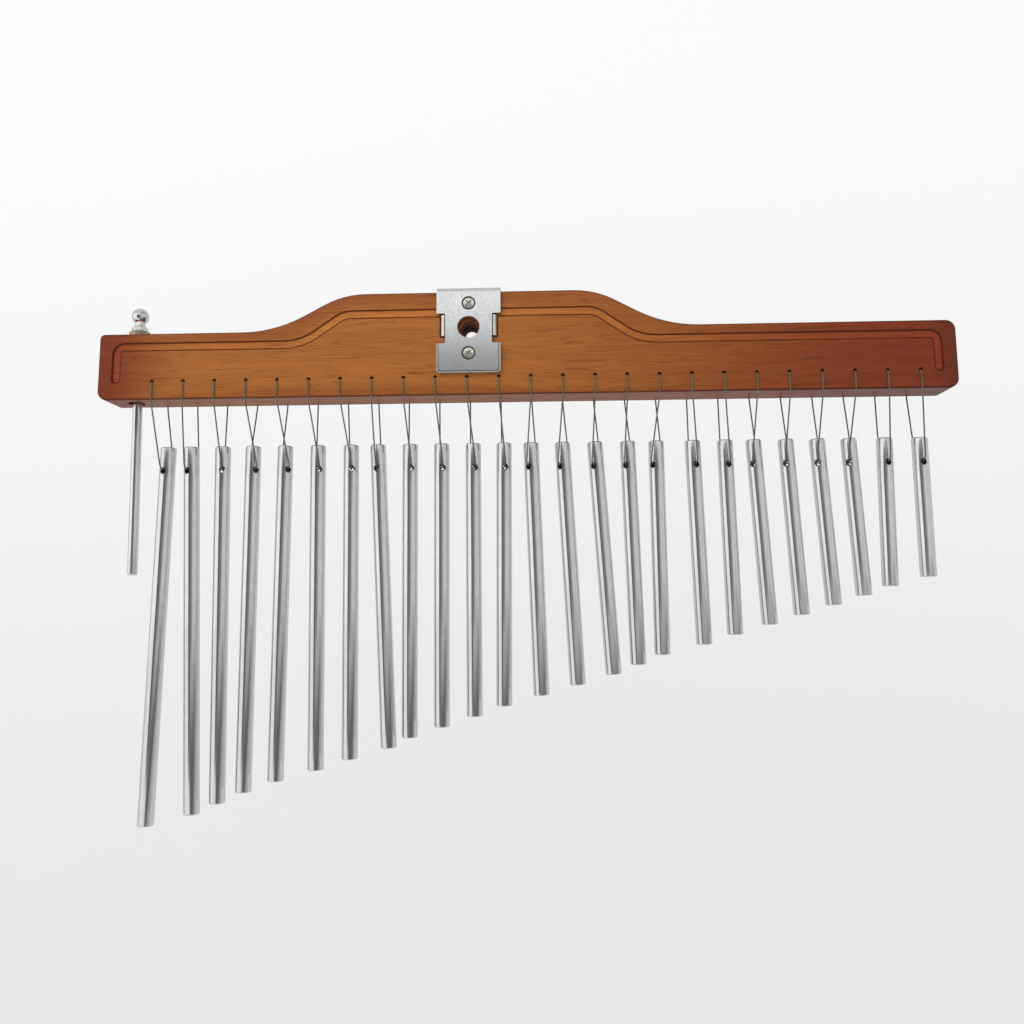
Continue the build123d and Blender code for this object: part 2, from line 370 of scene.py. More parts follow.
# A dark steel that paints shade: in the screw seats, the bracket's scores and the thread at the back of the
# bore.
painted_shade_metal = metal("painted_shade_steel", linear(112, 110, 106), linear(78, 77, 74), gloss=(0.4, 0.55))
collar_metal = metal(
    "tarnished_collar_foot", linear(190, 172, 152), linear(142, 128, 108), gloss=(0.22, 0.36), relief=0.06,
    stretch=(1.0, 1.0, 0.3), line_scale=1200.0, cloud_scale=400.0,
)
striker_metal = metal(
    "chromed_striker", linear(238, 238, 240), linear(222, 222, 225), gloss=(0.03, 0.07), relief=0.04,
    stretch=(1.0, 1.0, 0.05), line_scale=1200.0, cloud_scale=180.0,
)
print("metals:", bar_metal.name, bracket_metal.name, screw_and_highlight_metal.name, striker_metal.name)

# %% [markdown]
# ## Stained wood
#
# The beam is a fine-grained hardwood under a satin lacquer, stained amber in the middle and redder
# towards both ends. A picture of wood would show the same face on every side, so the grain is solid
# noise, stretched far along the beam: the lines run on over the edges and turn into specks on the
# end faces. The routed line's walls are darkened, part stain and part painted shade, and its floor is
# painted lighter, a painted highlight. Both are a matter of depth below the faces, so the coordinate
# across the beam gives those masks. Beside the line's lower lip a Bevel node finds the edge, because
# it sees a rounded normal close to any edge of the mesh, and a dark line is painted there, part stain
# and part painted shade. The walls of the stand bore and of the striker hole get painted shade.

# %% Build the wood grain group
grain_inputs = {"Vector": "Vector", "Waviness": "Float"}
grain_masks = ["Figure", "Veins", "Fibres", "Pores"]
wood_grain, given, result = start_group("wood_grain", grain_inputs, grain_masks)
waves = {  # waves in a metre along X, Y and Z: few along the beam and many across it
    "drift": (14.0, 40.0, 60.0),
    "figure": (5.0, 90.0, 130.0),
    "contour": (7.0, 110.0, 150.0),
    "breaks": (22.0, 200.0, 420.0),
    "fibres": (26.0, 900.0, 1300.0),
    "pores": (120.0, 1500.0, 2300.0),
}
rings_per_step = 11.0


def streaks(kind, vector, detail, roughness):
    """Noise that is stretched along the beam."""
    return noise(wood_grain, scaled(wood_grain, vector, waves[kind]), 1.0, detail, roughness)


slow = {"Vector": scaled(wood_grain, given["Vector"], waves["drift"]), "Scale": 1.0, "Detail": 2.0}
drift = add(wood_grain, "ShaderNodeTexNoise", slow).outputs["Color"]
centred = vector_calc(wood_grain, "SUBTRACT", drift, (0.5, 0.5, 0.5))
wander = resized(wood_grain, centred, given["Waviness"])
warped = vector_calc(wood_grain, "ADD", given["Vector"], wander)
contour = streaks("contour", warped, 2.0, 0.5)
ring = calc(wood_grain, "PINGPONG", calc(wood_grain, "MULTIPLY", contour, rings_per_step), 0.5)
ring_line = spread(wood_grain, ring, 0.0, 0.16, 1.0, 0.0)
gaps = spread(wood_grain, streaks("breaks", given["Vector"], 3.0, 0.6), 0.32, 0.66)
masks = {
    "Figure": spread(wood_grain, streaks("figure", warped, 3.0, 0.5), 0.32, 0.68),
    "Veins": calc(wood_grain, "MULTIPLY", ring_line, gaps),
    "Fibres": spread(wood_grain, streaks("fibres", warped, 4.0, 0.65), 0.30, 0.70),
    "Pores": spread(wood_grain, streaks("pores", warped, 2.0, 0.5), 0.60, 0.72),
}
feed(wood_grain, result, masks)
print("group:", wood_grain.name)

# %% Build the wood material
amber = linear(178, 108, 44)
deep_red = linear(128, 51, 14)
# The dark stain also serves as painted shade in the routed line, beside its lower lip and in the holes.
dark_stain_and_shade = linear(58, 22, 10)
# The routed line's floor is painted lighter: a painted highlight.
floor_highlight_lift = (1.36, 1.36, 1.30, 1.0)
beam_low, beam_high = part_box("beam")
beam_thickness = beam_high[1] - beam_low[1]
groove_depth = 0.9 * mm
lip_reach = 0.6 * mm  # the stain and painted shade gather this far beside the lower lip of the routed line
bore_radius = 5.5 * mm
striker_hole = (-178.3 * mm, 10.0 * mm, 0.0)
striker_hole_radius = 4.25 * mm
left_burst = (beam_low[0] + 2 * mm, beam_low[0] + 52 * mm)
right_burst = (-20 * mm, beam_high[0] - 14 * mm)
right_tip = (beam_high[0] - 16 * mm, beam_high[0] - 2 * mm)
crown_level, crown_end, shoulder_start = beam_high[2], 60 * mm, 106 * mm
mark_strengths = {"Figure": 0.14, "Veins": 0.36, "Fibres": 0.27, "Pores": 0.32}
hair = 0.02 * mm  # no more than a rounding error in a depth
wall_start, wall_end = (hair, 0.22 * mm), (1.0 * mm, 1.5 * mm)  # a wall's dark comes and goes over these depths
top_fade, low_fade = (2 * mm, 14 * mm), (beam_low[2], beam_low[2] + 9 * mm)
# The wall and deep greys also paint shade on the routed line's walls, beside its lower lip and in the striker
# hole.
rim_stain, wall_stain_and_shade, deep_stain_and_shade = (0.42, 0.45), 0.72, 0.8
lip_tilt = (0.06, 0.40)  # how far the rounded normal leans up beside a lower lip
satin = (0.36, 0.48)
hole_room = 0.1 * mm  # a hole's wall is looked for a little beyond its radius


def largest(tree, first, *others):
    """The largest of several values."""
    for other in others:
        first = calc(tree, "MAXIMUM", first, other)
    return first


def wood(name):
    """Make the stained and lacquered hardwood."""
    material, tree, shader = new_material(name)
    place = own_place(tree)
    axes = split(tree, place)
    grown = {"Vector": place, "Waviness": 7.0 * mm}
    grain = add(tree, "ShaderNodeGroup", grown, node_tree=wood_grain).outputs
    long_end = spread(tree, axes["X"], *left_burst, 1.0, 0.0)
    short_end = spread(tree, axes["X"], *right_burst, 0.0, 1.0)
    aside = calc(tree, "ABSOLUTE", axes["X"])
    top_level = spread(tree, aside, crown_end, shoulder_start, crown_level, 0.0)
    below_top = calc(tree, "SUBTRACT", top_level, axes["Z"])
    top_rim = spread(tree, below_top, *top_fade, rim_stain[0], 0.0)
    low_rim = spread(tree, axes["Z"], *low_fade, rim_stain[1], 0.0)
    true_normal = tree.nodes.new("ShaderNodeNewGeometry").outputs["True Normal"]
    slope = split(tree, true_normal)
    on_top = spread(tree, slope["Z"], 0.3, 0.8, 0.0, deep_stain_and_shade)
    burst = largest(tree, long_end, short_end, top_rim, low_rim, on_top)
    colour = blend_colours(tree, burst, amber, deep_red)
    for mark, strength in mark_strengths.items():
        colour = blend_colours(tree, calc(tree, "MULTIPLY", grain[mark], strength), colour, dark_stain_and_shade)
    colour = blend_colours(tree, spread(tree, axes["X"], *right_tip, 0.0, 0.34), colour, dark_stain_and_shade)
    depth = calc(tree, "MINIMUM", axes["Y"], calc(tree, "SUBTRACT", beam_thickness, axes["Y"]))
    floor = calc(tree, "COMPARE", depth, groove_depth, hair)
    # Painted highlight: the floor of the routed line is made lighter.
    colour = blend_colours(tree, floor, colour, floor_highlight_lift, "MULTIPLY")
    # The routed line's walls are darkened: part stain, part painted shade.
    going_in = spread(tree, depth, *wall_start)
    coming_out = spread(tree, depth, *wall_end, wall_stain_and_shade, 0.0)
    beside_floor = calc(tree, "SUBTRACT", 1.0, floor)
    wall = calc(tree, "MULTIPLY", calc(tree, "MULTIPLY", going_in, coming_out), beside_floor)
    # A dark line is painted beside the lower lip: part stain, part painted shade.
    softened_normal = add(tree, "ShaderNodeBevel", {"Radius": lip_reach}, samples=8).outputs["Normal"]
    tilt = split(tree, softened_normal)
    tilt_up = calc(tree, "MULTIPLY_ADD", calc(tree, "ABSOLUTE", tilt["X"]), 0.8, tilt["Z"])
    facing = calc(tree, "GREATER_THAN", calc(tree, "ABSOLUTE", slope["Y"]), 0.95)
    lip = calc(tree, "MULTIPLY", facing, spread(tree, tilt_up, *lip_tilt, 0.0, deep_stain_and_shade))
    # Painted shade inside the stand bore, darkest at its wall.
    from_bore = length_of(tree, scaled(tree, place, (1.0, 0.0, 1.0)))
    in_bore = calc(tree, "LESS_THAN", from_bore, bore_radius + hole_room)
    in_dark = spread(tree, from_bore, bore_radius - 0.9 * mm, bore_radius, 0.05, 0.88)
    bore = calc(tree, "MULTIPLY", in_bore, in_dark)
    # Painted shade inside the striker hole.
    from_striker = vector_calc(tree, "SUBTRACT", place, striker_hole)
    reach = length_of(tree, scaled(tree, from_striker, (1.0, 1.0, 0.0)))
    in_hole = calc(tree, "LESS_THAN", reach, striker_hole_radius + hole_room)
    # Stain and painted shade of the line, the lip and the holes, in one mask.
    edge = largest(tree, wall, lip, bore, calc(tree, "MULTIPLY", in_hole, deep_stain_and_shade))
    rough = spread(tree, grain["Fibres"], 0.0, 1.0, *satin)
    raised = calc(tree, "MULTIPLY", grain["Fibres"], 0.4)
    height = calc(tree, "MULTIPLY_ADD", grain["Pores"], -1.0, raised)
    finish = {
        "Base Color": blend_colours(tree, edge, colour, dark_stain_and_shade),
        "Roughness": calc(tree, "MULTIPLY_ADD", edge, 0.3, rough),
        "Coat Weight": spread(tree, edge, 0.0, 0.8, 0.08, 0.0),
        "Coat Roughness": 0.2,
        "Specular IOR Level": 0.22,
        "Normal": bumped(tree, height, 0.25, 0.08 * mm),
    }
    feed(tree, shader, finish)
    return material


beam_wood = wood("stained_hardwood")
beam_object = frame["nodes"]["beam"]
for slot in beam_object.material_slots:
    slot.material = beam_wood
print("wood on", beam_object.name, "with", len(beam_object.data.polygons), "faces")

# %% [markdown]
# ## How each bar hangs
#
# No two bars of the row hang quite alike: the loops pull them a little to one side, they lean, and
# they turn on their cords. The lists are the ones that shaped the solids. They give every bar a
# frame of its own, with the origin in its cross-hole, Z up along the bar and Y along the hole, and
# both the bar and the cord that carries it are built from that frame.

# %% Work out the bars' frames
bar_lean = [-1.0, 2.3, 1.1, 0.1, -0.2, 0.8, 0.7, 2.8, 0.4, 0.3, 0.3, -0.2, 1.9]
bar_lean += [2.9, 3.6, 1.5, 0.2, 1.5, 1.0, 2.8, 2.7, 3.0, 2.6, -1.0, 0.1]
bar_twist = [-15, -20, 15, 43, 43, 25, 17, -6, 17, 16, 20, 14, -29]
bar_twist += [-35, -28, -28, -41, 15, 15, -28, -27, -26, -31, 8, 2]
loop_rise = 0.25 * mm  # the swing's pivot above the centre of the cross-hole
numbers = [f"{index + 1:02d}" for index in range(len(bar_lean))]


def bar_frame(number):
    """Frame of one hanging bar as a matrix."""
    index = int(number) - 1
    lean, twist = radians(bar_lean[index]), radians(bar_twist[index])
    across = Vector((cos(twist) * cos(lean), sin(twist), cos(twist) * sin(lean)))
    along = Vector((-sin(lean), 0.0, cos(lean)))
    axes = Matrix((across, along.cross(across), along)).transposed().to_4x4()
    hole = joint_place["swing_" + number] - Vector((0.0, 0.0, loop_rise))
    return Matrix.Translation(hole) @ axes


bar_frames = {number: bar_frame(number) for number in numbers}
print("bars:", len(bar_frames))

# %% [markdown]
# ## Cords
#
# Each bar hangs on one thin laid cord. It goes through the beam, down both faces, and its strands
# meet in the bar's cross-hole. The route is a few control points of a NURBS curve, which rounds the
# corners by itself as a limp cord does. Geometry Nodes then sweep a circle along it and press three
# plies into the skin. The stored turn and length let the material follow the lay of the plies.

# %% Route the cords
cord_diameter = 0.8 * mm
cord_offset = 0.5 * mm  # the cord's middle off the wood that it lies on
bridge_rise = 9.2 * mm  # the cord's middle in the beam above the beam's underside
mouth = 5.5 * mm  # the bar's axis to the corner of the strand outside it
loop_height = 0.05 * mm  # the loop in the cross-hole above the hole's middle, with room for the swing
turn_room = 3.0 * mm  # beside the sharp turn into the beam
straight_room = 6.0 * mm  # a taut strand is straight this far from an edge
beam_base = beam_low[2]


def half_route(number, side):
    """Control points from the middle of the beam down one face to the bar's cross-hole."""
    pivot = joint_place["sway_" + number]
    face_y = pivot.y + side * (beam_thickness / 2 + cord_offset)
    bridge_z = beam_base + bridge_rise
    middle = Vector((pivot.x, pivot.y, bridge_z))
    turn = Vector((pivot.x, face_y, bridge_z))
    inside = turn - Vector((0.0, side * turn_room, 0.0))
    outside = turn - Vector((0.0, 0.0, turn_room))
    edge = Vector((pivot.x, face_y, beam_base))
    ring = bar_frames[number] @ Vector((0.0, side * mouth, loop_height))
    run = (ring - edge).normalized() * straight_room
    return [middle, inside, turn, outside, edge, edge + run, ring - run, ring]


def cord_curve(number):
    """The route of one cord as a NURBS curve without thickness."""
    route = half_route(number, -1) + half_route(number, 1)[::-1]
    data = bpy.data.curves.new("cord_route_" + number, "CURVE")
    data.dimensions = "3D"
    spline = data.splines.new("NURBS")
    spline.points.add(len(route) - 1)
    for point, place in zip(spline.points, route):
        point.co = (*place, 1.0)
    spline.order_u = 3
    spline.use_endpoint_u = True
    spline.resolution_u = 10
    return data


def curve_points(data):
    """Points along a curve, as Blender evaluates it."""
    mesh = settle(put("cord_line", data), "cord_line")
    points = [vertex.co.copy() for vertex in mesh.vertices]
    bpy.data.meshes.remove(mesh)
    return points


cord_curves = {number: cord_curve(number) for number in numbers}
cord_lines = {number: curve_points(data) for number, data in cord_curves.items()}
print("points in the first cord's line:", len(cord_lines["01"]))

# %% Build the cord material
ply_count = 3
ply_lay = 2.8 * mm  # length in which a ply goes once round
# The valleys between the plies are painted darker: painted shade.
cord_dark, cord_pale, cord_valley_shade = linear(94, 106, 88), linear(116, 124, 101), linear(48, 57, 45)


def cord_finish(name):
    """Make a laid synthetic cord: grey-green plies with valleys painted darker, a painted shade."""
    material, tree, shader = new_material(name)
    place = add(tree, "ShaderNodeAttribute", attribute_name="cord_map").outputs["Vector"]
    axes = split(tree, place)
    turn = calc(tree, "ARCTAN2", axes["Y"], axes["X"])
    lay = calc(tree, "MULTIPLY", axes["Z"], 2 * pi / ply_lay)
    back = calc(tree, "MULTIPLY", lay, -1.0)
    ply = calc(tree, "COSINE", calc(tree, "MULTIPLY_ADD", turn, float(ply_count), back))
    fibres = noise(tree, scaled(tree, place, (3.0, 3.0, 2600.0)), 1.0, 3.0, 0.6)
    patches = noise(tree, scaled(tree, place, (0.3, 0.3, 160.0)), 1.0, 2.0, 0.5)
    shade = calc(tree, "MULTIPLY_ADD", fibres, 0.5, calc(tree, "MULTIPLY_ADD", ply, 0.25, 0.25))
    worn = blend_colours(tree, spread(tree, patches, 0.3, 0.7), cord_dark, cord_pale)
    finish = {
        "Base Color": blend_colours(tree, spread(tree, shade, 0.15, 0.75, 1.0, 0.0), worn, cord_valley_shade),
        "Roughness": spread(tree, fibres, 0.3, 0.7, 0.55, 0.8),
        "Normal": bumped(tree, shade, 0.4, 0.1 * mm),
    }
    feed(tree, shader, finish)
    return material


cord_material = cord_finish("laid_cord")
print("material:", cord_material.name)

# %% Sweep the cords
cord_sizes = {
    "Diameter": cord_diameter,
    "Lay": ply_lay,
    "Relief": 0.04 * mm,
    "Ring spacing": 0.35 * mm,
    "Sides": 12,
}
cord_tree, size = shape_tree("laid_cord", cord_sizes)


def store(tree, geometry, name, value, data_type="FLOAT"):
    """Keep a value on every point under a name."""
    named = {"Geometry": geometry, "Name": name, "Value": value}
    node = add(tree, "GeometryNodeStoreNamedAttribute", named, data_type=data_type, domain="POINT")
    return node.outputs[0]


def recall(tree, name):
    """Read back a number that was stored on the points."""
    return made(tree, "GeometryNodeInputNamedAttribute", {"Name": name}, data_type="FLOAT")


rings = {"Curve": size["Geometry"], "Length": size["Ring spacing"]}
line = made(cord_tree, "GeometryNodeResampleCurve", rings, mode="LENGTH")
along = add(cord_tree, "GeometryNodeSplineParameter").outputs["Length"]
radius = calc(cord_tree, "MULTIPLY", size["Diameter"], 0.5)
corner = made(cord_tree, "GeometryNodeInputIndex")
turn = calc(cord_tree, "MULTIPLY", corner, calc(cord_tree, "DIVIDE", 2 * pi, size["Sides"]))
route = store(cord_tree, line, "cord_along", along)
section = store(cord_tree, round_section(cord_tree, size["Sides"], radius), "cord_turn", turn)
tube = swept(cord_tree, route, section)
turn_read, along_read = recall(cord_tree, "cord_turn"), recall(cord_tree, "cord_along")
phase = calc(cord_tree, "MULTIPLY", along_read, calc(cord_tree, "DIVIDE", -2 * pi, size["Lay"]))
ply = calc(cord_tree, "COSINE", calc(cord_tree, "MULTIPLY_ADD", turn_read, float(ply_count), phase))
press = calc(cord_tree, "MULTIPLY", calc(cord_tree, "SUBTRACT", ply, 1.0), size["Relief"])
inward = resized(cord_tree, made(cord_tree, "GeometryNodeInputNormal"), press)
pressed = made(cord_tree, "GeometryNodeSetPosition", {"Geometry": tube, "Offset": inward})
around = {"X": calc(cord_tree, "COSINE", turn_read), "Y": calc(cord_tree, "SINE", turn_read), "Z": along_read}
cord_map = made(cord_tree, "ShaderNodeCombineXYZ", around)
mapped = store(cord_tree, pressed, "cord_map", cord_map, "FLOAT_VECTOR")
end_tree(cord_tree, mapped, cord_material)

for number in numbers:
    mesh = grow("cord_" + number, cord_tree, cord_sizes, cord_curves[number])
    piece = place_piece("cord_" + number, mesh, "cord", "cord_loop_" + number, "cord_bridges")
    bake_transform(piece)

# %% [markdown]
# ## Chime bars
#
# A bar is a piece of drawn rod, cut off, with its ends barely broken and one hole drilled across
# near the top, countersunk so that the cord doesn't fray. The shape follows a rule, so one Geometry
# Nodes tree makes all of them and only the length changes. A turned solid is a line whose points
# each carry a height and a radius, with a circle swept along it; the same helper makes the drill
# that is then cut away.

# %% Define turned solids
def choose(tree, index, values):
    """Pick one value for each point of a line."""
    node = tree.nodes.new("GeometryNodeIndexSwitch")
    node.data_type = "FLOAT"
    while len(node.index_switch_items) < len(values):
        node.index_switch_items.new()
    feed(tree, node, dict(enumerate([index, *values])))
    return node.outputs[0]


def turned(tree, stations, sides):
    """Add a closed solid turned about Z. Each station is a height and a radius, lowest first."""
    index = made(tree, "GeometryNodeInputIndex")
    line = made(tree, "GeometryNodeCurvePrimitiveLine", {"End": (0.0, 0.0, 1.0)})
    points = made(tree, "GeometryNodeResampleCurve", {"Curve": line, "Count": len(stations)})
    heights, radii = zip(*stations)
    place = made(tree, "ShaderNodeCombineXYZ", {"Z": choose(tree, index, heights)})
    placed = made(tree, "GeometryNodeSetPosition", {"Geometry": points, "Position": place})
    return swept(tree, placed, round_section(tree, sides, 1.0), Scale=choose(tree, index, radii))


def moved(tree, geometry, **how):
    """Turn, scale or shift a shape. How names the inputs of the Transform node."""
    return made(tree, "GeometryNodeTransform", {"Geometry": geometry, **how})


def cut(tree, body, cutter):
    """Cut one closed shape away from another."""
    shapes = {"Mesh 1": body, "Mesh 2": cutter}
    return made(tree, "GeometryNodeMeshBoolean", shapes, operation="DIFFERENCE")


def rounded_end(tree, height, radius, size, inward):
    """Stations that round an end's edge. Inward is +1 for a lower end and -1 for an upper one."""
    quarter_turn = [radians(angle) for angle in (0.0, 22.5, 45.0, 67.5, 90.0)]
    stations = []
    for angle in quarter_turn:
        up, back = 1.0 - cos(angle), 1.0 - sin(angle)
        level = calc(tree, "MULTIPLY_ADD", size, inward * up, height)
        stations.append((level, calc(tree, "MULTIPLY_ADD", size, -back, radius)))
    return stations if inward > 0 else stations[::-1]


print("turning helpers ready")

# %% Build and place the bars
bar_sizes = {
    "Top": 12.6 * mm,
    "Bottom": -179.4 * mm,
    "Diameter": 8.0 * mm,
    "Hole": 3.0 * mm,
    "Countersink": 0.5 * mm,
    "Edge": 0.8 * mm,
}
bar_sides, drill_sides = 72, 32
stood_up = (pi / 2, 0.0, 0.0)  # turns what was made along Z to point along -Y
skin_depth = 0.42 * mm  # faces deeper than this are the hole's wall
pattern_step = Vector((0.037, 0.053, 0.071))  # moves the wear on, so that no two bars share it
bar_tree, size = shape_tree("chime_bar", bar_sizes)
radius = calc(bar_tree, "MULTIPLY", size["Diameter"], 0.5)
sleeve = calc(bar_tree, "MULTIPLY", size["Diameter"], -0.5)
stations = rounded_end(bar_tree, size["Bottom"], radius, size["Edge"], 1)
stations += [(sleeve, radius)]
stations += rounded_end(bar_tree, size["Top"], radius, size["Edge"], -1)
rod = turned(bar_tree, stations, bar_sides)
drill_radius = calc(bar_tree, "MULTIPLY", size["Hole"], 0.5)
wide = calc(bar_tree, "MULTIPLY_ADD", size["Countersink"], 2.0, drill_radius)
reach = calc(bar_tree, "ADD", radius, size["Countersink"])
shallow = calc(bar_tree, "SUBTRACT", radius, size["Countersink"])
low_reach = calc(bar_tree, "MULTIPLY", reach, -1.0)
low_shallow = calc(bar_tree, "MULTIPLY", shallow, -1.0)
drill_stations = [(low_reach, wide), (low_shallow, drill_radius), (shallow, drill_radius), (reach, wide)]
drill = moved(bar_tree, turned(bar_tree, drill_stations, drill_sides), Rotation=stood_up)
place = made(bar_tree, "GeometryNodeInputPosition")
marked = store(bar_tree, cut(bar_tree, rod, drill), "bar_place", place, "FLOAT_VECTOR")
from_axis = length_of(bar_tree, scaled(bar_tree, place, (1.0, 1.0, 0.0)))
below_skin = calc(bar_tree, "LESS_THAN", from_axis, calc(bar_tree, "SUBTRACT", radius, skin_depth))
level = calc(bar_tree, "ABSOLUTE", split(bar_tree, place)["Z"])
near_hole = calc(bar_tree, "LESS_THAN", level, size["Hole"])
in_hole = calc(bar_tree, "MULTIPLY", below_skin, near_hole)
# The hole's wall takes the dark aluminium: painted shade.
end_tree(bar_tree, marked, bar_metal, in_hole, hole_shade_metal)

for number in numbers:
    node = frame["nodes"]["chime_bar_" + number]
    to_bar = bar_frames[number].inverted()
    heights = [(to_bar @ vertex.co).z for vertex in node.data.vertices]
    mesh = grow("bar_" + number, bar_tree, {"Top": max(heights), "Bottom": min(heights)})
    for item in mesh.attributes["bar_place"].data:
        item.vector = Vector(item.vector) + pattern_step * int(number)
    mesh.transform(bar_frames[number])
    piece = place_piece("bar_" + number, mesh, "polished_aluminium", "chime_bar_" + number)
    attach(piece, "bar_" + number)
print("bars turned:", len(numbers), "faces in the last:", len(mesh.polygons))

# %% [markdown]
# ## Striker
#
# The striker is a chromed rod that drops through a hole at the beam's long end. A turned collar
# keeps it from falling through and a ball on top gives the fingers a hold. All three are lathe
# work, so the turning helper makes them too, with the edges broken as a lathe leaves them.

# %% Turn the striker
rod_low, rod_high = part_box("striker_rod")
striker_lean = radians(1.0)
rod_rise = 12.1  # heights in millimetres from the collar's seat on the beam
rod_drop = -126.4
ball_middle = 12.5
ball_radius = 4.4
ball_steps = 16
ball_start, ball_end = -1.05, pi / 2 - 0.06  # angles from the neck to just short of the top
foot_height = 3.7  # the collar is tarnished up to here
striker_sides = 64
rod_tip = [(0.0, 1.7), (0.25, 2.1), (0.7, 2.4), (1.2, 2.5)]
ball = []
for step in range(ball_steps + 1):
    angle = ball_start + (ball_end - ball_start) * step / ball_steps
    ball.append((ball_middle + ball_radius * sin(angle), ball_radius * cos(angle)))
striker_shapes = {
    "striker_rod": [(rod_drop + up, radius) for up, radius in rod_tip] + [(rod_rise, rod_tip[-1][1])],
    "striker_collar": [
        (0.0, 5.1), (0.3, 5.4), (3.2, 5.4), (3.5, 5.2), (3.8, 4.6), (4.0, 4.3), (4.3, 4.3),
        (5.6, 4.2), (6.2, 3.9), (6.6, 3.4), (6.8, 2.7), (7.7, 2.6),
    ],
    "striker_knob": ball,
}
rod_middle = (Vector(rod_low) + Vector(rod_high)) / 2
along_rod = Vector((-sin(striker_lean), 0.0, cos(striker_lean)))
seat = rod_middle - along_rod * ((rod_rise + rod_drop) / 2 * mm)
striker_frame = Matrix.Translation(seat) @ Matrix.Rotation(-striker_lean, 4, "Y")
for node_name, profile in striker_shapes.items():
    tree, size = shape_tree(node_name + "_shape", {})
    stations = [(height * mm, radius * mm) for height, radius in profile]
    skin, foot = striker_metal, None
    if node_name == "striker_collar":
        level = split(tree, made(tree, "GeometryNodeInputPosition"))["Z"]
        skin, foot = screw_and_highlight_metal, calc(tree, "LESS_THAN", calc(tree, "ABSOLUTE", level), foot_height * mm)
    end_tree(tree, turned(tree, stations, striker_sides), skin, foot, collar_metal)
    mesh = grow(node_name + "_turned", tree)
    mesh.transform(striker_frame)
    piece = place_piece(node_name + "_turned", mesh, "striker_steel", node_name)
    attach(piece, "striker")
print("striker pieces:", list(striker_shapes), "seat:", [round(c / mm, 2) for c in seat])

# %% [markdown]
# ## Bracket
#
# The bracket is stamped from sheet and folded over the crown, and the press leaves every edge a
# little soft. The solid has the right outline, so a copy of its mesh is welded, its flat faces are
# joined up again, and a narrow Bevel breaks the edges. Shallow scores then part the folded tabs and
# the rolled lower rim from the plate, and the faces take their metal by where they lie: the scores
# and the screw seats a dark steel, which is painted shade, and the tabs and the rim a brighter
# steel, partly a painted highlight. Those thin bright rims are most of what makes sheet metal look
# like sheet metal.

# %% Soften the bracket's edges
weld_distance = 0.005 * mm
edge_width, edge_steps = 0.7 * mm, 3
flat_angle, edge_angle = radians(1), radians(35)


def mesh_from(shape, name):
    """Turn an edited shape into a mesh."""
    mesh = bpy.data.meshes.new(name)
    shape.to_mesh(mesh)
    shape.free()
    return mesh


def softened(node_name, name, cutter):
    """Copy a solid's mesh, weld it, break its sharp edges and cut away what the cutter covers."""
    shape = bmesh.new()
    shape.from_mesh(frame["nodes"][node_name].data)
    bmesh.ops.remove_doubles(shape, verts=shape.verts, dist=weld_distance)
    bmesh.ops.dissolve_limit(shape, angle_limit=flat_angle, verts=shape.verts, edges=shape.edges)
    mesh = mesh_from(shape, name)
    for layer in ("custom_normal", "sharp_face", "sharp_edge"):
        if layer in mesh.attributes:
            mesh.attributes.remove(mesh.attributes[layer])
    mesh.shade_smooth()
    holder = put(name + "_source", mesh)
    bevel = holder.modifiers.new("edge", "BEVEL")
    bevel.width = edge_width
    bevel.segments = edge_steps
    bevel.limit_method = "ANGLE"
    bevel.angle_limit = edge_angle
    score = holder.modifiers.new("score", "BOOLEAN")
    score.operation = "DIFFERENCE"
    score.object = cutter
    flats = holder.modifiers.new("flats", "WEIGHTED_NORMAL")
    flats.weight = 100
    flats.keep_sharp = True
    return settle(holder, name)


plate_low, plate_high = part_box("bracket")
plate_front = plate_low[1]
notch_floor = -8.6 * mm  # the side notches' lower edge, where the rolled rim ends
rim_width, rim_score, score_depth = 0.75 * mm, 0.35 * mm, 0.5 * mm
corner_cut = 0.8 * mm
score_x = 12.4 * mm  # the score beside each folded tab
tab_middle, tab_reach = 0.95 * mm, 5.9 * mm
tab_score = (0.5 * mm, 1.3 * mm, 11.4 * mm, 1.0)
slack = 0.05 * mm
seat_reach = 0.1 * mm  # the shaded seat reaches this far beyond a screw's head


def rim_line(inset):
    """A line at a distance inside the plate's lower outline, from notch to notch."""
    side, base, top = plate_high[0] - inset, plate_low[2] + inset, notch_floor + 0.5 * mm
    right = [(side - corner_cut, base), (side, base + corner_cut), (side, top)]
    return [(-x, z) for x, z in right[::-1]] + right


def rim_insets(face):
    """How far a face's corners lie inside the plate's lower outline, nearest and farthest."""
    corners = [bracket_mesh.vertices[index].co for index in face.vertices]
    if max(corner.z for corner in corners) > notch_floor + slack:
        return None
    insets = [min(plate_high[0] - abs(corner.x), corner.z - plate_low[2]) for corner in corners]
    return min(insets), max(insets)


score_shape = bmesh.new()
for side in (-1, 1):
    place = Matrix.Translation((side * score_x, plate_front, tab_middle))
    bmesh.ops.create_cube(score_shape, size=1.0, matrix=place @ Matrix.Diagonal(tab_score))
loop = rim_line(rim_width) + rim_line(rim_width + rim_score)[::-1]
front = [score_shape.verts.new((x, plate_front - score_depth, z)) for x, z in loop]
back = [score_shape.verts.new((x, plate_front + score_depth, z)) for x, z in loop]
score_shape.faces.new(front)
score_shape.faces.new(back[::-1])
for index in range(len(loop)):
    score_shape.faces.new((front[index - 1], front[index], back[index], back[index - 1]))
bmesh.ops.recalc_face_normals(score_shape, faces=score_shape.faces)
scores = put("scores", mesh_from(score_shape, "scores"))
bracket_mesh = softened("bracket", "bracket_plate", scores)
bpy.data.objects.remove(scores)
bracket_mesh.materials.clear()
for finish in (bracket_metal, painted_shade_metal, screw_and_highlight_metal):
    bracket_mesh.materials.append(finish)
screw_low, screw_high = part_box("bracket_screws")
head_radius = (screw_high[0] - screw_low[0]) / 2
screw_places = [screw_high[2] - head_radius, screw_low[2] + head_radius]
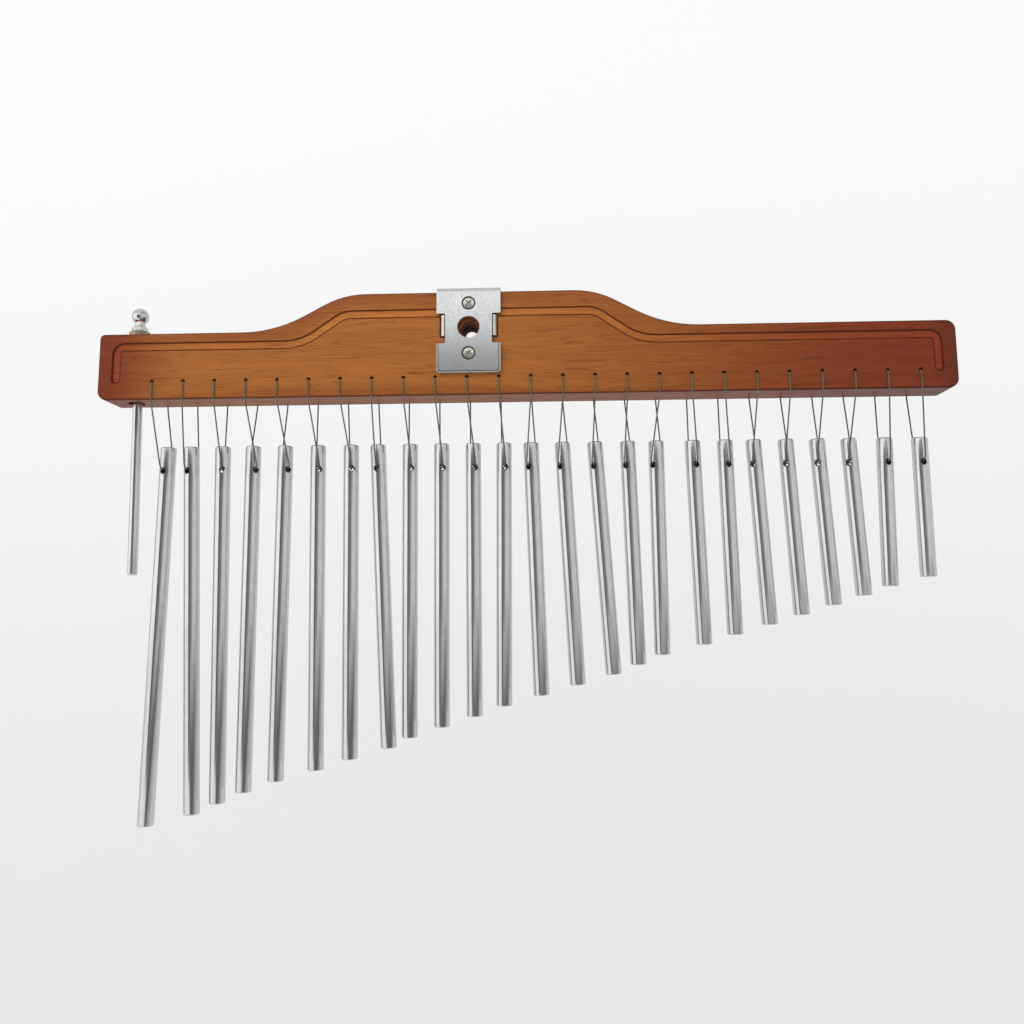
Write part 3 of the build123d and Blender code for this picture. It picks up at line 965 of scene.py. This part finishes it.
for face in bracket_mesh.polygons:
    x, y, z = face.center
    from_screws = min(Vector((x, z - height)).length for height in screw_places)
    in_score = abs(abs(x) - score_x) < 0.3 * mm and 0.1 * mm < y - plate_front < 0.8 * mm
    in_tab = abs(x) > score_x and abs(z - tab_middle) < tab_reach
    insets = rim_insets(face)
    on_rim = insets is not None and insets[1] < rim_width + rim_score + slack
    in_rim_score = on_rim and insets[0] > rim_width - slack
    # Scores and screw seats take the dark steel, a painted shade; the tabs and the rolled rim take the brighter
    # steel, partly a painted highlight.
    shaded = in_score or in_rim_score or from_screws < head_radius + seat_reach
    face.material_index = 1 if shaded else 2 if in_tab or on_rim else 0
bracket_piece = place_piece("bracket_plate", bracket_mesh, "plated_steel", "bracket")
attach(bracket_piece, "beam")
print("bracket faces:", len(bracket_mesh.polygons))

# %% [markdown]
# ## Bracket screws
#
# Two countersunk cross-head screws hold the plate. A screw is turned, its cross recess is cut by
# two tapered blades, and the tree sets one at each height with its own turn, because nobody stops
# driving screws at the same angle. The heads sit a hair below the plate, which leaves a dark ring,
# and the plate's seat around each head is painted dark as well: painted shade.

# %% Set the screws
screw_sizes = {
    "Head": 2 * head_radius - 1.2 * mm,
    "Shank": 4.0 * mm,
    "Length": screw_high[1] - screw_low[1] - 0.5 * mm,
    "Recess": 1.5 * mm,
    "Blade": 0.95 * mm,
    "Blade span": 4.0 * mm,
}
seat_depth = 0.3 * mm  # the heads lie this far below the plate
point_length = 3.0 * mm
blade_shares = (0.32, 0.72)  # corner radii of a blade at its tip and its mouth, in spans
screw_sides, blade_sides = 48, 4
screw_turns = [radians(43), radians(68)]
screw_tree, size = shape_tree("cross_head_screws", screw_sizes)
head = calc(screw_tree, "MULTIPLY", size["Head"], 0.5)
shank = calc(screw_tree, "MULTIPLY", size["Shank"], 0.5)
neck = calc(screw_tree, "SUBTRACT", shank, head)
tail = calc(screw_tree, "MULTIPLY", size["Length"], -1.0)
point = calc(screw_tree, "ADD", tail, point_length)
crown = [(-0.25 * mm, head), (-0.05 * mm, calc(screw_tree, "SUBTRACT", head, 0.15 * mm))]
crown += [(0.08 * mm, calc(screw_tree, "MULTIPLY", head, 0.62)), (0.12 * mm, 0.3 * mm)]
body = turned(screw_tree, [(tail, 0.2 * mm), (point, shank), (neck, shank)] + crown, screw_sides)
blade_tip, blade_mouth = (calc(screw_tree, "MULTIPLY", size["Blade span"], share) for share in blade_shares)
blade_low = calc(screw_tree, "MULTIPLY", size["Recess"], -1.0)
blade = turned(screw_tree, [(blade_low, blade_tip), (0.4 * mm, blade_mouth)], blade_sides)
quarter = moved(screw_tree, blade, Rotation=(0.0, 0.0, pi / 4))
thin = calc(screw_tree, "DIVIDE", size["Blade"], size["Blade span"])
flat = made(screw_tree, "ShaderNodeCombineXYZ", {"X": 1.0, "Y": thin, "Z": 1.0})
flattened = moved(screw_tree, quarter, Scale=flat)
for turn_angle in (0.0, pi / 2):
    body = cut(screw_tree, body, moved(screw_tree, flattened, Rotation=(0.0, 0.0, turn_angle)))
joined = screw_tree.nodes.new("GeometryNodeJoinGeometry")
for height, turn_angle in zip(screw_places, screw_turns):
    spun = moved(screw_tree, body, Rotation=(0.0, 0.0, turn_angle))
    seat_place = (0.0, screw_low[1] + seat_depth, height)
    driven = moved(screw_tree, spun, Rotation=stood_up, Translation=seat_place)
    screw_tree.links.new(driven, joined.inputs[0])
end_tree(screw_tree, joined.outputs[0], screw_and_highlight_metal)
screw_mesh = grow("cross_head_screws", screw_tree, screw_sizes)
screw_piece = place_piece("cross_head_screws", screw_mesh, "screw_steel", "bracket_screws")
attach(screw_piece, "beam")
print("screw faces:", len(screw_piece.data.polygons))

# %% [markdown]
# ## Thread in the stand bore
#
# The stand's stud screws into the bore, which shows a coarse thread: cut into the wood in front, and
# in a steel insert at the back. A ridge that winds along a helix is the simplest case of a path
# follower: a spiral curve with a small ring swept along it. One tree makes both stretches, and both
# start and stop inside the wood, so nothing stands out of the faces.

# %% Cut the thread
thread_sizes = {"Radius": 5.45 * mm, "Pitch": 2.2 * mm, "Depth": 1.0 * mm}
thread_sizes.update({"Length": 11.6 * mm, "Start": 1.0 * mm})
turn_steps, ridge_sides = 40, 8


def thread(name, material, slot, sizes):
    """Wind one stretch of thread along the bore."""
    tree, size = shape_tree(name, thread_sizes)
    turns = calc(tree, "DIVIDE", size["Length"], size["Pitch"])
    spiral = {"Resolution": turn_steps, "Rotations": turns, "Height": size["Length"]}
    spiral.update({"Start Radius": size["Radius"], "End Radius": size["Radius"]})
    helix = made(tree, "GeometryNodeCurveSpiral", spiral)
    wound = swept(tree, helix, round_section(tree, ridge_sides, size["Depth"]))
    start = made(tree, "ShaderNodeCombineXYZ", {"Y": size["Start"]})
    laid = moved(tree, wound, Rotation=(-pi / 2, 0.0, 0.0), Translation=start)
    end_tree(tree, laid, material)
    piece = place_piece(name, grow(name, tree, {**thread_sizes, **sizes}), slot)
    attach(piece, "beam")
    return piece


front_thread = thread("bore_thread", beam_wood, "stained_wood", {})
insert_sizes = {"Pitch": 1.4 * mm, "Depth": 2.4 * mm, "Length": 2.2 * mm, "Start": 15.2 * mm}
# The thread at the back of the bore takes the dark steel: painted shade.
rear_thread = thread("bore_insert_thread", painted_shade_metal, "screw_steel", insert_sizes)
print("thread faces:", len(front_thread.data.polygons), len(rear_thread.data.polygons))

# %% [markdown]
# ## Studio
#
# The photograph has a plain pale ground that gets slightly greyer towards the bottom, with a faint
# soft shadow. A curved sweep stands behind and below the chimes. It shows a set brightness to the
# camera and in reflections, and keeps a little real shading, so that the shadow still falls on it.
# Its back is clear, so that the chimes can be looked at from behind.

# %% Build the sweep
sweep_wall_y = 0.22
sweep_floor_z = -0.50
sweep_radius = 0.25
sweep_steps = 24
sweep_reach, sweep_top = 3.0, 2.5
looks = ["Is Camera Ray", "Is Glossy Ray", "Is Transmission Ray"]  # straight, mirrored or through glass
glow_share = 0.85  # the rest is real shading
low_grey, high_grey = 0.80, 0.985
grade_levels = (-0.44, 0.30)  # heights between which the ground gets lighter
aside_fade, high_fade = (0.6, 2.6), (0.9, 2.4)  # out there it goes back to the low grey
mirror_fades = {"X": (-0.30, -0.08), "Y": (-0.30, 0.05)}
mirror_front, mirror_back = (0.85, 0.30), 0.56  # greys that reflections see


def glowing(tree, shade):
    """A grey that shines by itself."""
    grey = made(tree, "ShaderNodeCombineColor", {0: shade, 1: shade, 2: shade})
    return made(tree, "ShaderNodeEmission", {"Color": grey, "Strength": 1.0})


def sweep_material():
    """Pale ground: graded for the camera and for reflections, plain and matt for light."""
    material, tree, shader = new_material("pale_sweep")
    axes = split(tree, own_place(tree))
    rays = tree.nodes.new("ShaderNodeLightPath").outputs
    graded = spread(tree, axes["Z"], *grade_levels, low_grey, high_grey)
    far_aside = spread(tree, calc(tree, "ABSOLUTE", axes["X"]), *aside_fade)
    far_off = calc(tree, "MAXIMUM", far_aside, spread(tree, axes["Z"], *high_fade))
    seen_shade = calc(tree, "MULTIPLY_ADD", calc(tree, "SUBTRACT", low_grey, graded), far_off, graded)
    mirrored_front = spread(tree, axes["X"], *mirror_fades["X"], *mirror_front)
    mirrored_shade = spread(tree, axes["Y"], *mirror_fades["Y"], mirrored_front, mirror_back)
    towards_mirrored = calc(tree, "SUBTRACT", mirrored_shade, seen_shade)
    shade = calc(tree, "MULTIPLY_ADD", towards_mirrored, rays["Is Glossy Ray"], seen_shade)
    feed(tree, shader, {"Base Color": (0.86, 0.86, 0.86, 1.0), "Roughness": 0.9})
    share = calc(tree, "MULTIPLY", largest(tree, *(rays[kind] for kind in looks)), glow_share)
    face = made(tree, "ShaderNodeMixShader", {0: share, 1: shader.outputs[0], 2: glowing(tree, shade)})
    clear = made(tree, "ShaderNodeBsdfTransparent")
    back = tree.nodes.new("ShaderNodeNewGeometry").outputs["Backfacing"]
    ground = made(tree, "ShaderNodeMixShader", {0: back, 1: face, 2: clear})
    feed(tree, tree.nodes["Material Output"], {"Surface": ground})
    return material


profile = [(-sweep_reach, sweep_floor_z)]
for step in range(sweep_steps + 1):
    angle = -pi / 2 + (pi / 2) * step / sweep_steps
    back, up = sweep_radius * (1 - cos(angle)), sweep_radius * (1 + sin(angle))
    profile.append((sweep_wall_y - back, sweep_floor_z + up))
profile.append((sweep_wall_y, sweep_top))
sweep_mesh = bpy.data.meshes.new("pale_sweep")
corners = [(x, y, z) for y, z in profile for x in (-sweep_reach, sweep_reach)]
quads = [(2 * i, 2 * i + 1, 2 * i + 3, 2 * i + 2) for i in range(len(profile) - 1)]
sweep_mesh.from_pydata(corners, [], quads)
sweep_mesh.shade_smooth()
sweep_mesh.materials.append(sweep_material())
pale_sweep = put("pale_sweep", sweep_mesh)
print("sweep strips:", len(quads))

# %% [markdown]
# ## Light and reflections
#
# Polished metal has no look of its own: it shows the room. A white room alone would make the bars
# flat, so dark cards stand in front and behind, out of the camera's sight and without a shadow. The
# bars pick up the tall one as the dark streak left of their middle. A large soft lamp above left
# gives the routed line its dark upper edge, and an even sky fills the rest.

# %% Set the cards and the lamp
sheen_height = 0.2  # of the lighter strip along a card's upper edge


def card(name, sides, distance, levels, greys, sheen):
    """A flat upright card that only reflections can see.

    Its grey goes from the first value at the left to the second in the middle and the third at the
    right. Sheen lightens its upper edge.
    """
    mesh = bpy.data.meshes.new(name)
    (left, right), (bottom, top) = sides, levels
    outline = [(left, top), (right, top), (right, bottom), (left, bottom)]
    mesh.from_pydata([(x, distance, z) for x, z in outline], [], [(0, 1, 2, 3)])
    material, tree, shader = new_material(name)
    tree.nodes.remove(shader)
    axes = split(tree, own_place(tree))
    middle = (left + right) / 2
    left_half = spread(tree, axes["X"], left, middle, greys[0], greys[1])
    across = calc(tree, "ADD", left_half, spread(tree, axes["X"], middle, right, 0.0, greys[2] - greys[1]))
    shade = calc(tree, "MAXIMUM", across, spread(tree, axes["Z"], top - sheen_height, top, 0.0, sheen))
    feed(tree, tree.nodes["Material Output"], {"Surface": glowing(tree, shade)})
    mesh.materials.append(material)
    flat = put(name, mesh)
    for sight in ("camera", "diffuse", "shadow", "transmission"):
        setattr(flat, "visible_" + sight, False)


card("dark_card_tall", (-0.52, 0.48), -0.75, (-1.13, 0.226), (0.08, 0.20, 0.62), 0.22)
card("dark_card_high", (-0.56, 0.40), -0.70, (0.036, 0.10), (0.10, 0.10, 0.22), 0.0)
card("dark_card_low", (-0.10, 1.30), -0.45, (-0.78, -0.22), (0.12, 0.13, 0.22), 0.45)
card("dark_card_behind", (-0.55, 0.45), 0.85, (-1.0, 0.226), (0.40, 0.12, 0.12), 0.20)


def soft_lamp(name, place, aim, width, power):
    """A large square lamp turned towards a point."""
    data = bpy.data.lights.new(name, "AREA")
    data.shape = "SQUARE"
    data.size = width
    data.energy = power
    lamp = put(name, data)
    lamp.location = place
    lamp.rotation_euler = (Vector(aim) - Vector(place)).to_track_quat("-Z", "Y").to_euler()
    lamp.visible_glossy = False


soft_lamp("lamp_above_left", (-0.75, -1.0, 1.05), (0.0, 0.0, -0.05), 1.2, 14.0)

world = bpy.data.worlds.new("white_room")
bpy.context.scene.world = world
world.use_nodes = True
room = world.node_tree
sky = room.nodes["Background"]
sky.inputs["Color"].default_value = (1.0, 1.0, 1.0, 1.0)
rays = room.nodes.new("ShaderNodeLightPath").outputs
room_light = 0.72
far_ground = 0.775  # what the camera sees beyond the sweep, as bright as the sweep's own ends
aim = split(room, room.nodes.new("ShaderNodeTexCoord").outputs["Generated"])  # the way a ray goes
dim_right = spread(room, aim["X"], 0.10, 0.60, 1.0, 0.62)
dim_ceiling = spread(room, aim["Z"], 0.36, 0.62, 1.0, 0.60)
room_look = calc(room, "MULTIPLY", dim_right, dim_ceiling)
straight = calc(room, "MAXIMUM", rays["Is Camera Ray"], rays["Is Transmission Ray"])
plain = calc(room, "MULTIPLY_ADD", straight, far_ground - room_light, room_light)
towards_look = calc(room, "SUBTRACT", room_look, plain)
room.links.new(calc(room, "MULTIPLY_ADD", rays["Is Glossy Ray"], towards_look, plain), sky.inputs["Strength"])
bpy.context.scene.view_settings.view_transform = "Standard"
print("lamp and cards set")
